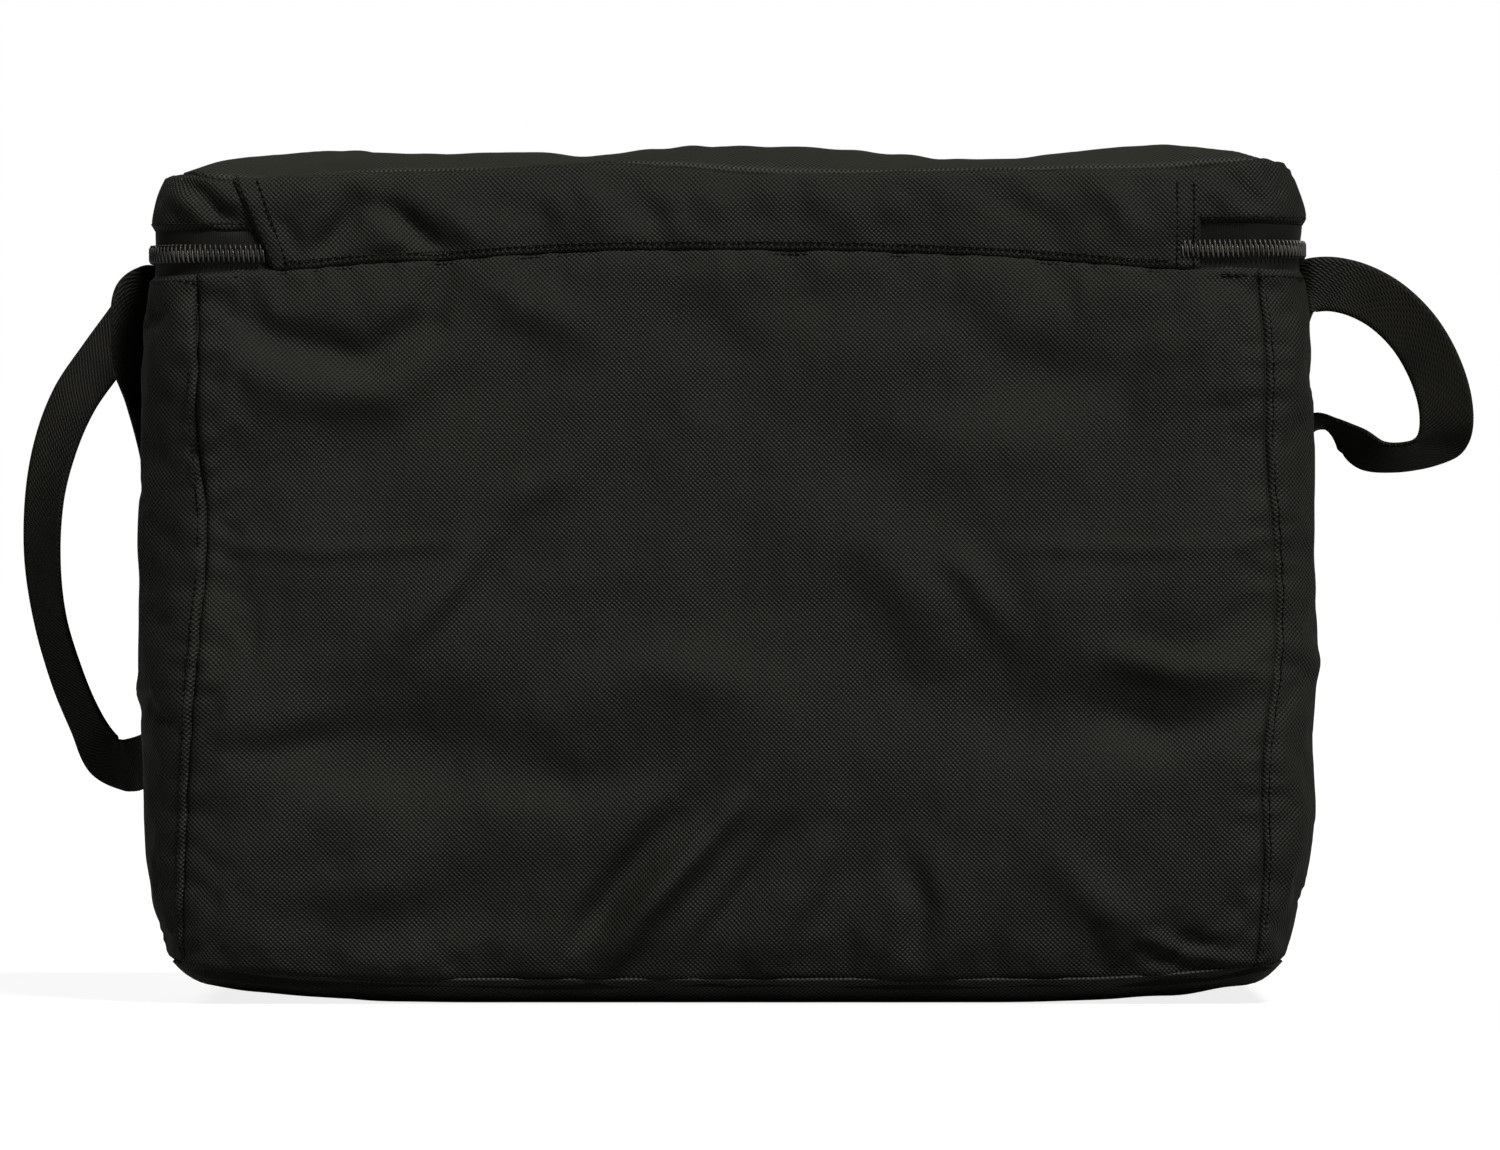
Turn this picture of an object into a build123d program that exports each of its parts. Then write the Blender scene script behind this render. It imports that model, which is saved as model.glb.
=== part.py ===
"""Soft insulated food carrier: a foam-walled fabric tub with a zipped lid and two webbing handles.

Millimetres, +Z up. The origin is the middle of the flat base. The back, where the lid's
hinge band is, faces -Y, and the front, where the two zipper sliders meet, faces +Y.
"""

import os

from build123d import *

os.makedirs("parts", exist_ok=True)

# Outer size of the bag
bag_width = 540
bag_depth = 344
corner_radius = 28
seam_x = 242  # vertical seams between the side panels and the back and front panels

# Layers of the wall and the floor, from the outside in
fabric = 1.2
foam = 8
foil = 0.6
board = 3
base_fabric = 1.5

# Heights
foam_top = 343
binding_top = 345
panel_top = 340
zip_line = 353  # height of the zipper's closing line and of the lid's hinge
zip_gap = 1
tape_height = 12.5
lid_seam = 394
crown_height = 10
crown_inset = 70
lid_foam_low = 385

# Zipper
zip_end_x = 218  # the zipper ends here on the back, at the sides of the hinge band
tape = 1
coil_height = 3.6
coil_thickness = 1.1
slider_x = 12
slider_length = 18
slider_height = 12
plate = 1.2
plate_clearance = 0.3
neck_thickness = 0.6
neck_length = 6
bridge_length = 8
bridge_width = 3
bridge_rise = 4
bridge_wall = 1.4
pull_bar_radius = 0.9
pull_length = 34
pull_width = 9
pull_eye_width = 7.2
pull_arm = 1.3
pull_eye_length = 6

# Handles: flat webbing, sewn to the side panels at the rear and at the front
webbing_width = 25
webbing = 2.2
anchor_length = 50
anchor_end_y = 96
anchor_z = 334.5
anchor_gap = 0.2

# Each station is the middle of the webbing and the direction of its width there.
right_handle_stations = [
    ((274.5, -97, 336), (0, 0, 1)),
    ((291, -100, 336.5), (-0.05, 0, 1)),
    ((305, -101, 331), (0.45, 0, 0.9)),
    ((318, -100, 320), (0.7, 0, 0.7)),
    ((330, -98, 305), (0.9, 0, 0.45)),
    ((337, -95, 289), (1, 0.05, 0.15)),
    ((339, -90, 273), (1, 0.3, -0.1)),
    ((334, -83, 262), (0.7, 0.45, -0.55)),
    ((321, -74, 258), (0.1, 0.75, -0.65)),
    ((305, -62, 261.5), (0, 0.8, -0.6)),
    ((290, -50, 267), (0.2, 0.9, -0.3)),
    ((280, -38, 255), (0.1, 0.95, 0.1)),
    ((276, -30, 225), (0, 0.97, 0.2)),
    ((275.5, -16, 186), (0, 0.9, 0.4)),
    ((275.5, 8, 157), (0, 0.7, 0.7)),
    ((275.5, 38, 147), (0, 0, 1)),
    ((275.5, 68, 160), (0, -0.65, 0.75)),
    ((275.5, 86, 196), (0, -0.93, 0.35)),
    ((276, 93, 240), (0, -1, 0.15)),
    ((279.5, 96, 280), (-0.3, -0.95, 0)),
    ((282, 98, 305), (-0.45, -0.9, 0.1)),
    ((284, 99, 323), (-0.5, -0.7, 0.5)),
    ((283, 98.5, 335), (0, 0, 1)),
    ((274.5, 97, 336), (0, 0, 1)),
]
left_handle_stations = [
    ((-274.5, -97, 336), (0, 0, 1)),
    ((-283, -98.5, 335), (0, 0, 1)),
    ((-284, -99, 323), (0.5, 0.7, 0.5)),
    ((-282, -98, 305), (0.45, 0.9, 0.1)),
    ((-279.5, -94, 282), (0.3, 0.95, 0)),
    ((-276, -84, 250), (0, 1, 0.2)),
    ((-275.5, -68, 212), (0, 0.93, 0.37)),
    ((-275.5, -45, 172), (0, 0.85, 0.5)),
    ((-276, -10, 137), (0, 0.6, 0.8)),
    ((-280, 25, 118), (-0.1, 0.25, 0.95)),
    ((-289, 51, 114), (0, -0.2, 0.97)),
    ((-298.5, 66, 120), (0.2, -0.6, 0.75)),
    ((-306, 75, 134), (0.56, -0.77, 0.29)),
    ((-314, 82, 155), (0.6, -0.77, 0.2)),
    ((-320.5, 88, 188), (0.64, -0.77, 0.05)),
    ((-322, 92, 220), (0.64, -0.77, 0)),
    ((-319.5, 95, 252), (0.64, -0.76, -0.1)),
    ((-312.5, 97, 277), (0.65, -0.7, -0.25)),
    ((-303, 98, 295), (0.58, -0.65, -0.45)),
    ((-293, 98, 313), (0.6, -0.4, -0.65)),
    ((-286, 98.5, 329), (0.45, -0.2, -0.85)),
    ((-280, 98, 335), (0.1, 0, -1)),
    ((-274.5, 97, 336), (0, 0, -1)),
]


def finish(piece, label):
    """Name a finished piece and write it out."""
    piece.part.label = label
    export_step(piece.part, f"parts/{label}.step")


def outline(inset, mode=Mode.ADD):
    """The bag's rounded plan, drawn inwards by the inset, in the open sketch."""
    RectangleRounded(bag_width - 2 * inset, bag_depth - 2 * inset, corner_radius - inset, mode=mode)


def wall(label, inset, thickness, low, high, region=None, cut=False):
    """An upright strip of wall that follows the plan; a region (centre x, y, size x, y) trims it."""
    with BuildPart() as piece:
        with BuildSketch(Plane.XY.offset(low)):
            outline(inset)
            outline(inset + thickness, mode=Mode.SUBTRACT)
            if region:
                x, y, size_x, size_y = region
                with Locations((x, y)):
                    Rectangle(size_x, size_y, mode=Mode.SUBTRACT if cut else Mode.INTERSECT)
        extrude(amount=high - low)
    finish(piece, label)


def slab(label, inset, low, high):
    """A flat layer with the bag's plan."""
    with BuildPart() as piece:
        with BuildSketch(Plane.XY.offset(low)):
            outline(inset)
        extrude(amount=high - low)
    finish(piece, label)


def face_region(side, half_width):
    """The part of the plan that holds the back (-1) or front (+1) wall between the seams."""
    return (0, side * bag_depth / 2, 2 * half_width, 2 * corner_radius)


def end_region(side, start):
    """The part of the plan beyond a seam, at the left (-1) or right (+1) end."""
    beyond = bag_width / 2 - start + 10
    return (side * (start + beyond / 2), 0, beyond, bag_depth + 20)


# Floor of the tub
board_low = base_fabric
floor_foam_low = board_low + board
floor_foam_high = floor_foam_low + foam
foil_inset = fabric + foam
slab("bottom_panel", 0, 0, base_fabric)
slab("base_board", fabric + 0.5, board_low, floor_foam_low)
slab("foam_base", foil_inset, floor_foam_low, floor_foam_high)

# Outer walls and their foam
wall("front_panel", 0, fabric, base_fabric, panel_top, face_region(1, seam_x))
for side, name in ((-1, "back"), (1, "front")):
    wall(f"foam_{name}", fabric, foam, floor_foam_low, foam_top, face_region(side, seam_x))
for side, name in ((-1, "left"), (1, "right")):
    wall(f"{name}_side_panel", 0, fabric, base_fabric, panel_top, end_region(side, seam_x))
    wall(f"foam_{name}", fabric, foam, floor_foam_low, foam_top, end_region(side, seam_x))

# The back panel is one sheet, narrower above the zipper's ends, where it meets the hinge band.
with BuildPart() as back_panel:
    with BuildSketch(Plane.XZ.offset(bag_depth / 2)):
        with BuildLine():
            Polyline((-seam_x, base_fabric), (seam_x, base_fabric), (seam_x, panel_top),
                     (zip_end_x, panel_top), (zip_end_x, zip_line - zip_gap),
                     (-zip_end_x, zip_line - zip_gap), (-zip_end_x, panel_top),
                     (-seam_x, panel_top), close=True)
        make_face()
    extrude(amount=-fabric)
finish(back_panel, "back_panel")

# Welded foil liner, a tub in one piece, and the binding over the foam's top edge
with BuildPart() as foil_liner:
    with BuildSketch(Plane.XY.offset(floor_foam_high)):
        outline(foil_inset)
    extrude(amount=foam_top - floor_foam_high)
    with BuildSketch(Plane.XY.offset(floor_foam_high + foil)):
        outline(foil_inset + foil)
    extrude(amount=foam_top - floor_foam_high, mode=Mode.SUBTRACT)
finish(foil_liner, "foil_liner")
wall("mouth_binding", fabric, foam + foil, foam_top, binding_top)

# Zipper: a tape and a coil on the tub, and a tape and a coil on the lid
half_gap = zip_gap / 2
behind_band = face_region(-1, zip_end_x)
wall("zipper_tape_lower", 0, tape, panel_top, zip_line - half_gap, behind_band, cut=True)
wall("zipper_tape_upper", 0, tape, zip_line + half_gap, zip_line + tape_height, behind_band, cut=True)
lower_coil_low = zip_line - half_gap - coil_height
upper_coil_low = zip_line + half_gap
wall("zipper_coil_lower", -coil_thickness, coil_thickness, lower_coil_low,
     lower_coil_low + coil_height, behind_band, cut=True)
wall("zipper_coil_upper", -coil_thickness, coil_thickness, upper_coil_low,
     upper_coil_low + coil_height, behind_band, cut=True)

# Lid: hinge band at the back, gusset strips round the other sides
wall("lid_rear_band", 0, fabric, zip_line + zip_gap, lid_seam, face_region(-1, zip_end_x))
gusset_low = zip_line + tape_height
wall("lid_front_gusset", 0, fabric, gusset_low, lid_seam, face_region(1, zip_end_x))
wall("lid_left_gusset", 0, fabric, gusset_low, lid_seam, end_region(-1, zip_end_x))
wall("lid_right_gusset", 0, fabric, gusset_low, lid_seam, end_region(1, zip_end_x))


def crown(drop, mode):
    """The lid's low crown over its seam, lowered by the drop, in the open part."""
    with BuildSketch(Plane.XY.offset(lid_seam)) as rim:
        outline(drop)
    with BuildSketch(Plane.XY.offset(lid_seam + crown_height - drop)) as top:
        RectangleRounded(bag_width - 2 * crown_inset, bag_depth - 2 * crown_inset, corner_radius)
    loft(sections=[rim.sketch, top.sketch], ruled=True, mode=mode)


with BuildPart() as lid_top_panel:
    crown(0, Mode.ADD)
    crown(fabric, Mode.SUBTRACT)
finish(lid_top_panel, "lid_top_panel")

with BuildPart() as lid_foam:
    with BuildSketch(Plane.XY.offset(lid_foam_low)):
        outline(fabric)
    extrude(amount=lid_seam - lid_foam_low)
    crown(fabric, Mode.ADD)
finish(lid_foam, "lid_foam")
slab("lid_foil_liner", fabric, lid_foam_low - foil, lid_foam_low)

# Zipper sliders and their pulls, on the front
front_face = bag_depth / 2
outer_plate_y = front_face + coil_thickness + plate_clearance
inner_plate_y = front_face - tape - plate_clearance - plate
bridge_y = outer_plate_y + plate
pull_axis_y = bridge_y + 1.4


def slider(label, side):
    """Two plates round the tapes, a thin neck between the coils, and a bridge for the pull."""
    centre = side * slider_x
    with BuildPart() as piece:
        for plate_y in (inner_plate_y, outer_plate_y):
            with BuildSketch(Plane.XZ.offset(-plate_y)):
                with Locations((centre, zip_line)):
                    Trapezoid(slider_height, slider_length, 84, rotation=side * 90)
            extrude(amount=-plate)
        fillet(piece.edges().filter_by(Axis.Y), 1.5)
        with BuildSketch(Plane.XZ.offset(-inner_plate_y)):
            with Locations((centre - side * (slider_length - neck_length) / 2, zip_line)):
                Rectangle(neck_length, neck_thickness)
        extrude(amount=-(outer_plate_y - inner_plate_y + plate / 2))
        with BuildSketch(Plane.XY.offset(zip_line)):
            with Locations((centre, bridge_y + bridge_rise / 2)):
                RectangleRounded(bridge_length, bridge_rise + 1, 1.6)
            with Locations((centre, bridge_y)):
                Rectangle(bridge_length, 1, align=(Align.CENTER, Align.MAX), mode=Mode.SUBTRACT)
            with Locations((centre, bridge_y + (bridge_rise - bridge_wall) / 2 + 0.15)):
                Rectangle(bridge_length - 2 * bridge_wall, bridge_rise - bridge_wall + 0.3,
                          mode=Mode.SUBTRACT)
        extrude(amount=bridge_width / 2, both=True)
    finish(piece, label)


def pull(label, side):
    """A flat tab whose eye holds a round bar, which turns under the slider's bridge."""
    centre = side * slider_x
    tab_length = pull_length - pull_eye_length
    with BuildPart() as piece:
        with BuildSketch(Plane.XZ.offset(-(pull_axis_y - pull_bar_radius))):
            with Locations((centre + side * (pull_eye_length + tab_length / 2), zip_line)):
                RectangleRounded(tab_length, pull_width, 2)
            with Locations((centre + side * (pull_eye_length + tab_length - 6), zip_line)):
                SlotOverall(7, 3.4, rotation=90, mode=Mode.SUBTRACT)
            for edge in (-1, 1):
                with Locations((centre + side * pull_eye_length / 2,
                                zip_line + edge * (pull_eye_width - pull_arm) / 2)):
                    Rectangle(pull_eye_length + 2, pull_arm)
        extrude(amount=-2 * pull_bar_radius)
        with Locations((centre, pull_axis_y, zip_line)):
            Cylinder(pull_bar_radius, pull_eye_width)
    finish(piece, label)


for side, name in ((-1, "left"), (1, "right")):
    slider(f"zip_slider_{name}", side)
    pull(f"zip_pull_{name}", side)


# Handles
def anchor(label, side, end):
    """A sewn end of the webbing, flat on the side panel."""
    with BuildPart() as piece:
        with BuildSketch(Plane.YZ.offset(side * (bag_width / 2 + anchor_gap))):
            with Locations((end * (anchor_end_y - anchor_length / 2), anchor_z)):
                RectangleRounded(anchor_length, webbing_width, 1)
        extrude(amount=side * webbing)
    finish(piece, label)


for side, name in ((-1, "left"), (1, "right")):
    for end, place in ((-1, "rear"), (1, "front")):
        anchor(f"{name}_handle_{place}_anchor", side, end)


def handle(label, stations):
    """A free loop of webbing, lofted from one sewn end to the other."""
    middles = [Vector(*middle) for middle, _ in stations]
    sections = []
    with BuildPart() as piece:
        for i, (_, across) in enumerate(stations):
            along = middles[min(i + 1, len(middles) - 1)] - middles[max(i - 1, 0)]
            with BuildSketch(Plane(middles[i], x_dir=square_to(Vector(*across), along), z_dir=along)) as cut:
                Rectangle(webbing_width, webbing)
            sections.append(cut.sketch)
        loft(sections=sections, ruled=True)
    finish(piece, label)


def square_to(across, along):
    """The width's direction, turned square to the run of the webbing."""
    along = along.normalized()
    return across - along * across.dot(along)


handle("left_handle", left_handle_stations)
handle("right_handle", right_handle_stations)
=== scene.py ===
"""The looks of the soft insulated food carrier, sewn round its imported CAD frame.

Surfaces are worked out in millimetres and written to meshes in metres. `s` is the distance round the
bag's plan from the middle of the back, towards +X, and `z` is the height over the floor.
"""
import math

import bpy
import numpy as np
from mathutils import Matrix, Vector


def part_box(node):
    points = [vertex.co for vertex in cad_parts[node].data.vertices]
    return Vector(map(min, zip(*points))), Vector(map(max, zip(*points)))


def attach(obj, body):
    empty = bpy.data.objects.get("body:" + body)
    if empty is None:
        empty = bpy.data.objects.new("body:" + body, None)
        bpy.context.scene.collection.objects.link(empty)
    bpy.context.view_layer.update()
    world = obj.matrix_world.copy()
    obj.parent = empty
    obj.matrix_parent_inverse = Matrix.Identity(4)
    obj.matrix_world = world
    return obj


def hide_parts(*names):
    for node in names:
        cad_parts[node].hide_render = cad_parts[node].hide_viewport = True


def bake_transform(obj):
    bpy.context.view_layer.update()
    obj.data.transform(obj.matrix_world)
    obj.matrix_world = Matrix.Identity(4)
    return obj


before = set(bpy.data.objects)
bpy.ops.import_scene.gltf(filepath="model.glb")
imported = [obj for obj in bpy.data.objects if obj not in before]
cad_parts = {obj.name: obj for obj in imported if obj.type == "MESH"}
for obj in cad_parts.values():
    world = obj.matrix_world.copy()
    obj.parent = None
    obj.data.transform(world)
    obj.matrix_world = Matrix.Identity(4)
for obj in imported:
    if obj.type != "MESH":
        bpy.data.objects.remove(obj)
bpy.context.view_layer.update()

MM = 0.001
LOW, HIGH = (np.array(corner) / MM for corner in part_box("bottom_panel"))
HALF_W, HALF_D = HIGH[0], HIGH[1]
CORNER = 28.0  # plan corner radius of the frame
COIL_LOW, COIL_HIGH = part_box("zipper_coil_lower")[0][2] / MM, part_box("zipper_coil_upper")[1][2] / MM
ZIP_Z = (COIL_LOW + COIL_HIGH) / 2
ZIP_END_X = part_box("lid_rear_band")[1][0] / MM
LID_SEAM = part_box("lid_rear_band")[1][2] / MM
CROWN_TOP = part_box("lid_top_panel")[1][2] / MM
ANCHOR_Z = (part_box("left_handle_rear_anchor")[0][2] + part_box("left_handle_rear_anchor")[1][2]) / 2 / MM

SHEET = 1.2  # thickness of the shell's fabric
SEAM_X = 250.0  # the vertical seams, seen from the back or the front
TAPE_LOW, TAPE_HIGH = 341.0, 366.0
STEP = 2.6  # size of a mesh cell on the shell
FIRST_SIDE, LAST_SIDE = 0.25, 0.75  # share of the way round at the middle of each side


def unit(value):
    """The value, kept between 0 and 1."""
    return np.clip(value, 0, 1)


def xyz(*columns):
    """Points from their coordinates."""
    return np.stack(columns, axis=-1)


# ---------------------------------------------------------------- plan of the bag
def plan_table():
    """Distances round the plan, with the point and the outward direction at each."""
    points, outward = [(0.0, -HALF_D)], [(0.0, -1.0)]
    turn = np.linspace(0, math.pi / 2, 25)
    for start, cx, cy in ((-90, 1, -1), (0, 1, 1), (90, -1, 1), (180, -1, -1)):
        for a in turn + math.radians(start):
            centre = (cx * (HALF_W - CORNER), cy * (HALF_D - CORNER))
            points.append((centre[0] + CORNER * math.cos(a), centre[1] + CORNER * math.sin(a)))
            outward.append((math.cos(a), math.sin(a)))
    points.append(points[0])
    outward.append(outward[0])
    points, outward = np.array(points), np.array(outward)
    steps = np.linalg.norm(np.diff(points, axis=0), axis=1)
    return np.concatenate([[0], np.cumsum(steps)]), points, outward


PLAN_S, PLAN_P, PLAN_N = plan_table()
AROUND = PLAN_S[-1]


def plan(s):
    """x, y and the outward direction at a distance round the plan."""
    s = np.mod(s, AROUND)
    return tuple(np.interp(s, PLAN_S, column) for column in (*PLAN_P.T, *PLAN_N.T))


def inside(s, inset, z):
    """Points at a distance inside the frame's plan."""
    x, y, nx, ny = plan(s)
    return xyz(x - nx * inset, y - ny * inset, z + 0 * x)


def flat_map(u, v):
    """The flat coordinates of a sheet."""
    return xyz(u, v, 0 * v)


def s_at_x(x, front=False):
    """How far round the plan a place on the back (or on the front) is."""
    straight = HALF_W - CORNER
    angle = math.asin(min(max((abs(x) - straight) / CORNER, 0), 1))
    back = min(abs(x), straight) + CORNER * angle
    s = math.copysign(back, x)
    return AROUND / 2 - s if front else s


S_SEAM = s_at_x(SEAM_X)
S_FRONT_SEAM = s_at_x(SEAM_X, front=True)
S_ZIP_END = s_at_x(ZIP_END_X - 3)


# ---------------------------------------------------------------- folds and hollows
def rumple(u, v, size, seed, stretch=1.0, waves=14):
    """A smooth random field, about 1 high, with bumps of about the given size."""
    pick = np.random.default_rng(seed)
    field = np.zeros(np.broadcast(u, v).shape)
    for _ in range(waves):
        angle, phase = pick.uniform(0, math.pi), pick.uniform(0, 2 * math.pi)
        k = 2 * math.pi / (size * pick.uniform(0.75, 1.6))
        field += np.cos(k * (u * math.cos(angle) + v * math.sin(angle) / stretch) + phase)
    return field / math.sqrt(waves)


def fold(u, v, width, height, *places):
    """A crease along a path: a rounded ridge, or a valley, with a faint answer on both sides."""
    path = list(zip(places[::2], places[1::2]))
    nearest = np.full(np.broadcast(u, v).shape, np.inf)
    fade = np.zeros_like(nearest)
    lengths = [math.dist(a, b) for a, b in zip(path, path[1:])]
    run, total = 0.0, sum(lengths)
    for (a, b), length in zip(zip(path, path[1:]), lengths):
        along = ((u - a[0]) * (b[0] - a[0]) + (v - a[1]) * (b[1] - a[1])) / length**2
        along = unit(along)
        away = np.hypot(u - a[0] - along * (b[0] - a[0]), v - a[1] - along * (b[1] - a[1]))
        here = np.sin(math.pi * np.clip((run + along * length) / total, 0.02, 0.98)) ** 0.6
        fade = np.where(away < nearest, here, fade)
        nearest = np.minimum(nearest, away)
        run += length
    ridge = np.exp(-((nearest / width) ** 2)) - 0.45 * np.exp(-((nearest / width / 2.2) ** 2))
    return height * fade * ridge


def folds(u, v, marks):
    """All the creases of a table."""
    return sum(fold(u, v, *mark) for mark in marks)


def hollow(u, v, centre, size, depth):
    """A broad soft dent."""
    return -depth * np.exp(-((u - centre[0]) / size[0]) ** 2 - ((v - centre[1]) / size[1]) ** 2)


BACK_FOLDS = [  # width, height, then the path's places (x, z)
    (5, 1.3, -252, 217, -190, 213, -118, 218), (5, 1.3, 128, 216, 190, 214, 252, 217),
    (9, 4.6, -116, 218, -132, 196, -156, 168), (10, 2.6, -116, 218, -96, 240, -70, 252),
    (9, 3.2, 98, 216, 116, 200, 130, 176),
    (10, -5.6, -246, 332, -212, 312, -170, 303, -140, 322, -126, 352),
    (13, 4.0, -240, 308, -200, 288, -158, 286, -122, 312), (12, 3.0, -112, 352, -98, 330, -60, 314),
    (8, 6.6, 12, 104, -18, 68, -42, 42, -62, 14), (9, -5.6, -20, 96, -48, 62, -76, 22),
    (8, -4.2, 34, 92, 6, 52, -22, 14), (10, 3.4, 52, 88, 38, 56, 16, 24),
    (8, -3.8, 84, 70, 92, 46, 88, 18), (16, 4.0, -236, 60, -200, 90, -146, 98),
    (14, -3.0, -222, 40, -180, 34, -120, 44), (9, -3.4, -246, 120, -216, 118, -180, 126),
    (12, 4.0, 150, 74, 176, 46, 214, 22), (4, 4.0, 196, 32, 216, 23, 246, 20),
    (9, 4.4, 252, 160, 214, 156, 172, 166), (12, -5.0, 248, 138, 206, 128, 166, 140),
    (12, 2.8, 232, 330, 206, 306, 196, 270), (18, -3.2, -26, 334, 2, 304, -6, 270),
    (16, -3.4, 100, 336, 132, 300, 182, 292), (18, 3.0, 60, 280, 110, 262, 170, 266),
    (16, 3.4, -80, 140, -40, 158, 14, 150), (15, -3.2, -120, 118, -70, 104, -20, 122),
    (16, 3.6, 60, 226, 92, 190, 104, 150),
]
BACK_HOLLOWS = [  # centre (x, z), size, depth
    ((108, 150), (42, 28), 3.8), ((199, 146), (32, 26), 3.0), ((-150, 120), (56, 28), 3.6),
    ((170, 130), (44, 20), 3.2),
    ((-10, 250), (80, 40), 2.4), ((150, 284), (70, 30), 3.0), ((-206, 250), (36, 26), 3.0),
    ((60, 70), (40, 34), 2.6), ((-110, 52), (40, 26), 3.0), ((60, 330), (60, 16), 2.0),
]
LID_FOLDS = [  # width, height, then the path's places (s, z)
    (4.5, -4.2, -268, 391, -252, 384, -240, 373, -226, 362), (5, 2.6, -262, 380, -250, 374, -240, 366),
    (5, 2.4, -246, 392, -236, 382, -226, 376), (6, -2.2, 232, 390, 244, 380, 256, 374),
    (8, 2.0, 276, 392, 280, 380, 290, 370), (8, -2.2, -310, 388, -300, 378, -304, 368),
]
SIDE_FOLDS = [  # width, height, then the path's places (y, z)
    (6, 2.4, -150, 150, -120, 146, -80, 156), (9, -2.0, -148, 240, -110, 252, -60, 246),
    (8, 2.0, 150, 180, 110, 172, 60, 186), (10, 2.2, -40, 60, 0, 84, 50, 70),
    (9, 1.8, -130, 40, -90, 66, -60, 110), (10, -2.0, 120, 300, 70, 284, 20, 290),
    (12, 1.8, -20, 210, 20, 200, 70, 216),
]


def profile(z, marks):
    """A smooth outline through a few (height, offset) marks."""
    heights, offsets = np.array(marks, float).T
    slopes = np.gradient(offsets, heights)
    i = np.clip(np.searchsorted(heights, z) - 1, 0, len(heights) - 2)
    h = heights[i + 1] - heights[i]
    t = unit((z - heights[i]) / h)
    a, b = offsets[i], offsets[i + 1]
    return (a * (1 + 2 * t) * (1 - t) ** 2 + b * t * t * (3 - 2 * t)
            + h * (slopes[i] * t * (1 - t) ** 2 - slopes[i + 1] * t * t * (1 - t)))


SIDE_BULGE = [(8, -10), (24, -6.5), (40, -2.8), (82, 1.8), (140, 5.2), (210, 3.8), (300, 3.4),
              (341, 1.6), (353, 1.4), (366, 1.2), (380, -2.2), (394, -8.0)]
FACE_BULGE = [(8, -7), (24, -3.5), (50, 0.2), (110, 3.2), (200, 4.4), (290, 3.0), (341, 0.8),
              (353, 0.2), (366, 0.4), (380, 0.4), (394, -3.4)]


def near(s, place, reach):
    """1 at a place round the plan, fading to 0 within the reach."""
    away = np.abs(np.mod(s - place + AROUND / 2, AROUND) - AROUND / 2)
    return np.exp(-((away / reach) ** 2))


REAR_SEAMS = {  # side: (height, distance from the middle) of the seams beside the back panel
    1: [(10, 250), (51, 252), (122, 251.4), (149, 255.4), (172, 257.3), (211, 256.2), (240, 253.4),
        (315, 251.6), (341, 250)],
    -1: [(10, 262), (49, 257.4), (88, 254.6), (133, 251), (179, 247.4), (213, 245.2), (293, 248.7),
         (341, 250)],
}


def drift(s, z):
    """How far round the plan the rear seams wander off straight lines, fading out over the panels."""
    moved = 0.0
    for side, marks in REAR_SEAMS.items():
        bend = unit((profile(z, marks) - HALF_W + CORNER) / CORNER)
        away = np.abs(np.mod(s - side * S_SEAM + AROUND / 2, AROUND) - AROUND / 2)
        wander = HALF_W - CORNER + CORNER * np.arcsin(bend) - S_SEAM
        moved = moved + side * wander * unit(1 - away / 70)
    return moved


FOLD_GAIN, FRONT_GAIN, SIDE_GAIN = 1.6, 1.15, 1.3  # deepen the folds of the tables


def wall_offset(s, z):
    """How far the shell stands outside the frame's plan, folds and seams included."""
    x, y, nx, ny = plan(s)
    side, face = nx**2, ny**2
    inner = unit((z - 24) / 40) * unit((338 - z) / 40)
    smooth = side * profile(z, SIDE_BULGE) + face * profile(z, FACE_BULGE)
    smooth = smooth - side * 3.6 * np.exp(-((y / 96) ** 4)) * inner
    smooth = smooth + 2.2 * near(s, S_SEAM + 22, 60) * unit((z - 357) / 10)
    back = (ny < -0.5) * unit(1.2 - np.abs(x) / 262) ** 0.25
    hollows = sum(hollow(x, z, *mark) for mark in BACK_HOLLOWS)
    offset = FOLD_GAIN * back * (folds(x, z, BACK_FOLDS) + hollows)
    around = np.mod(s + AROUND / 2, AROUND) - AROUND / 2
    offset = offset + folds(around, z, LID_FOLDS) * (z > 356)
    offset = offset + FRONT_GAIN * (ny > 0.5) * folds(-x * 0.93, 350 - z, BACK_FOLDS[::2])
    offset = offset + SIDE_GAIN * ((nx < -0.5) * folds(y, z, SIDE_FOLDS)
                                   + (nx > 0.5) * folds(-y * 0.9, z + 14, SIDE_FOLDS))
    offset = offset + 1.2 * rumple(s, z, 105, 2, 0.8) * unit((z - 20) / 40)
    offset += 0.7 * rumple(s, z, 46, 3, 1.4) + 0.18 * rumple(s, z, 15, 4, 1.2)
    zipped = 1 - back * (np.abs(x) < ZIP_END_X)
    calm = 1 - zipped * np.exp(-((np.abs(z - ZIP_Z) / 13) ** 4))
    for place in (S_SEAM, -S_SEAM, S_FRONT_SEAM, -S_FRONT_SEAM):
        pucker = np.cos(2 * math.pi * z / 17 + 2 * rumple(z * 0 + place, z, 60, 5))
        offset += near(s - drift(place, z), place, 9) * (0.45 * pucker - 0.5)
    return smooth + offset * calm


def shell_point(s, z, lift=0.0):
    """Points of the shell's outer face, moved outwards by the lift."""
    return inside(s, -wall_offset(s, z) - lift, z)


def floor_lift(x, y):
    """How far the soft base curves up from the floor."""
    rise_x = unit((np.abs(x) - 118) / (HALF_W - 118))
    rise_y = unit((np.abs(y) - 128) / (HALF_D - 128))
    return 12.5 * rise_x**2.3 + 9.0 * rise_y**2.6


def bottom_rise(x):
    """The bottom seam's height, without its waves."""
    return 10.5 + 9.5 * unit((np.abs(x) - 150) / 120) ** 2


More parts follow.
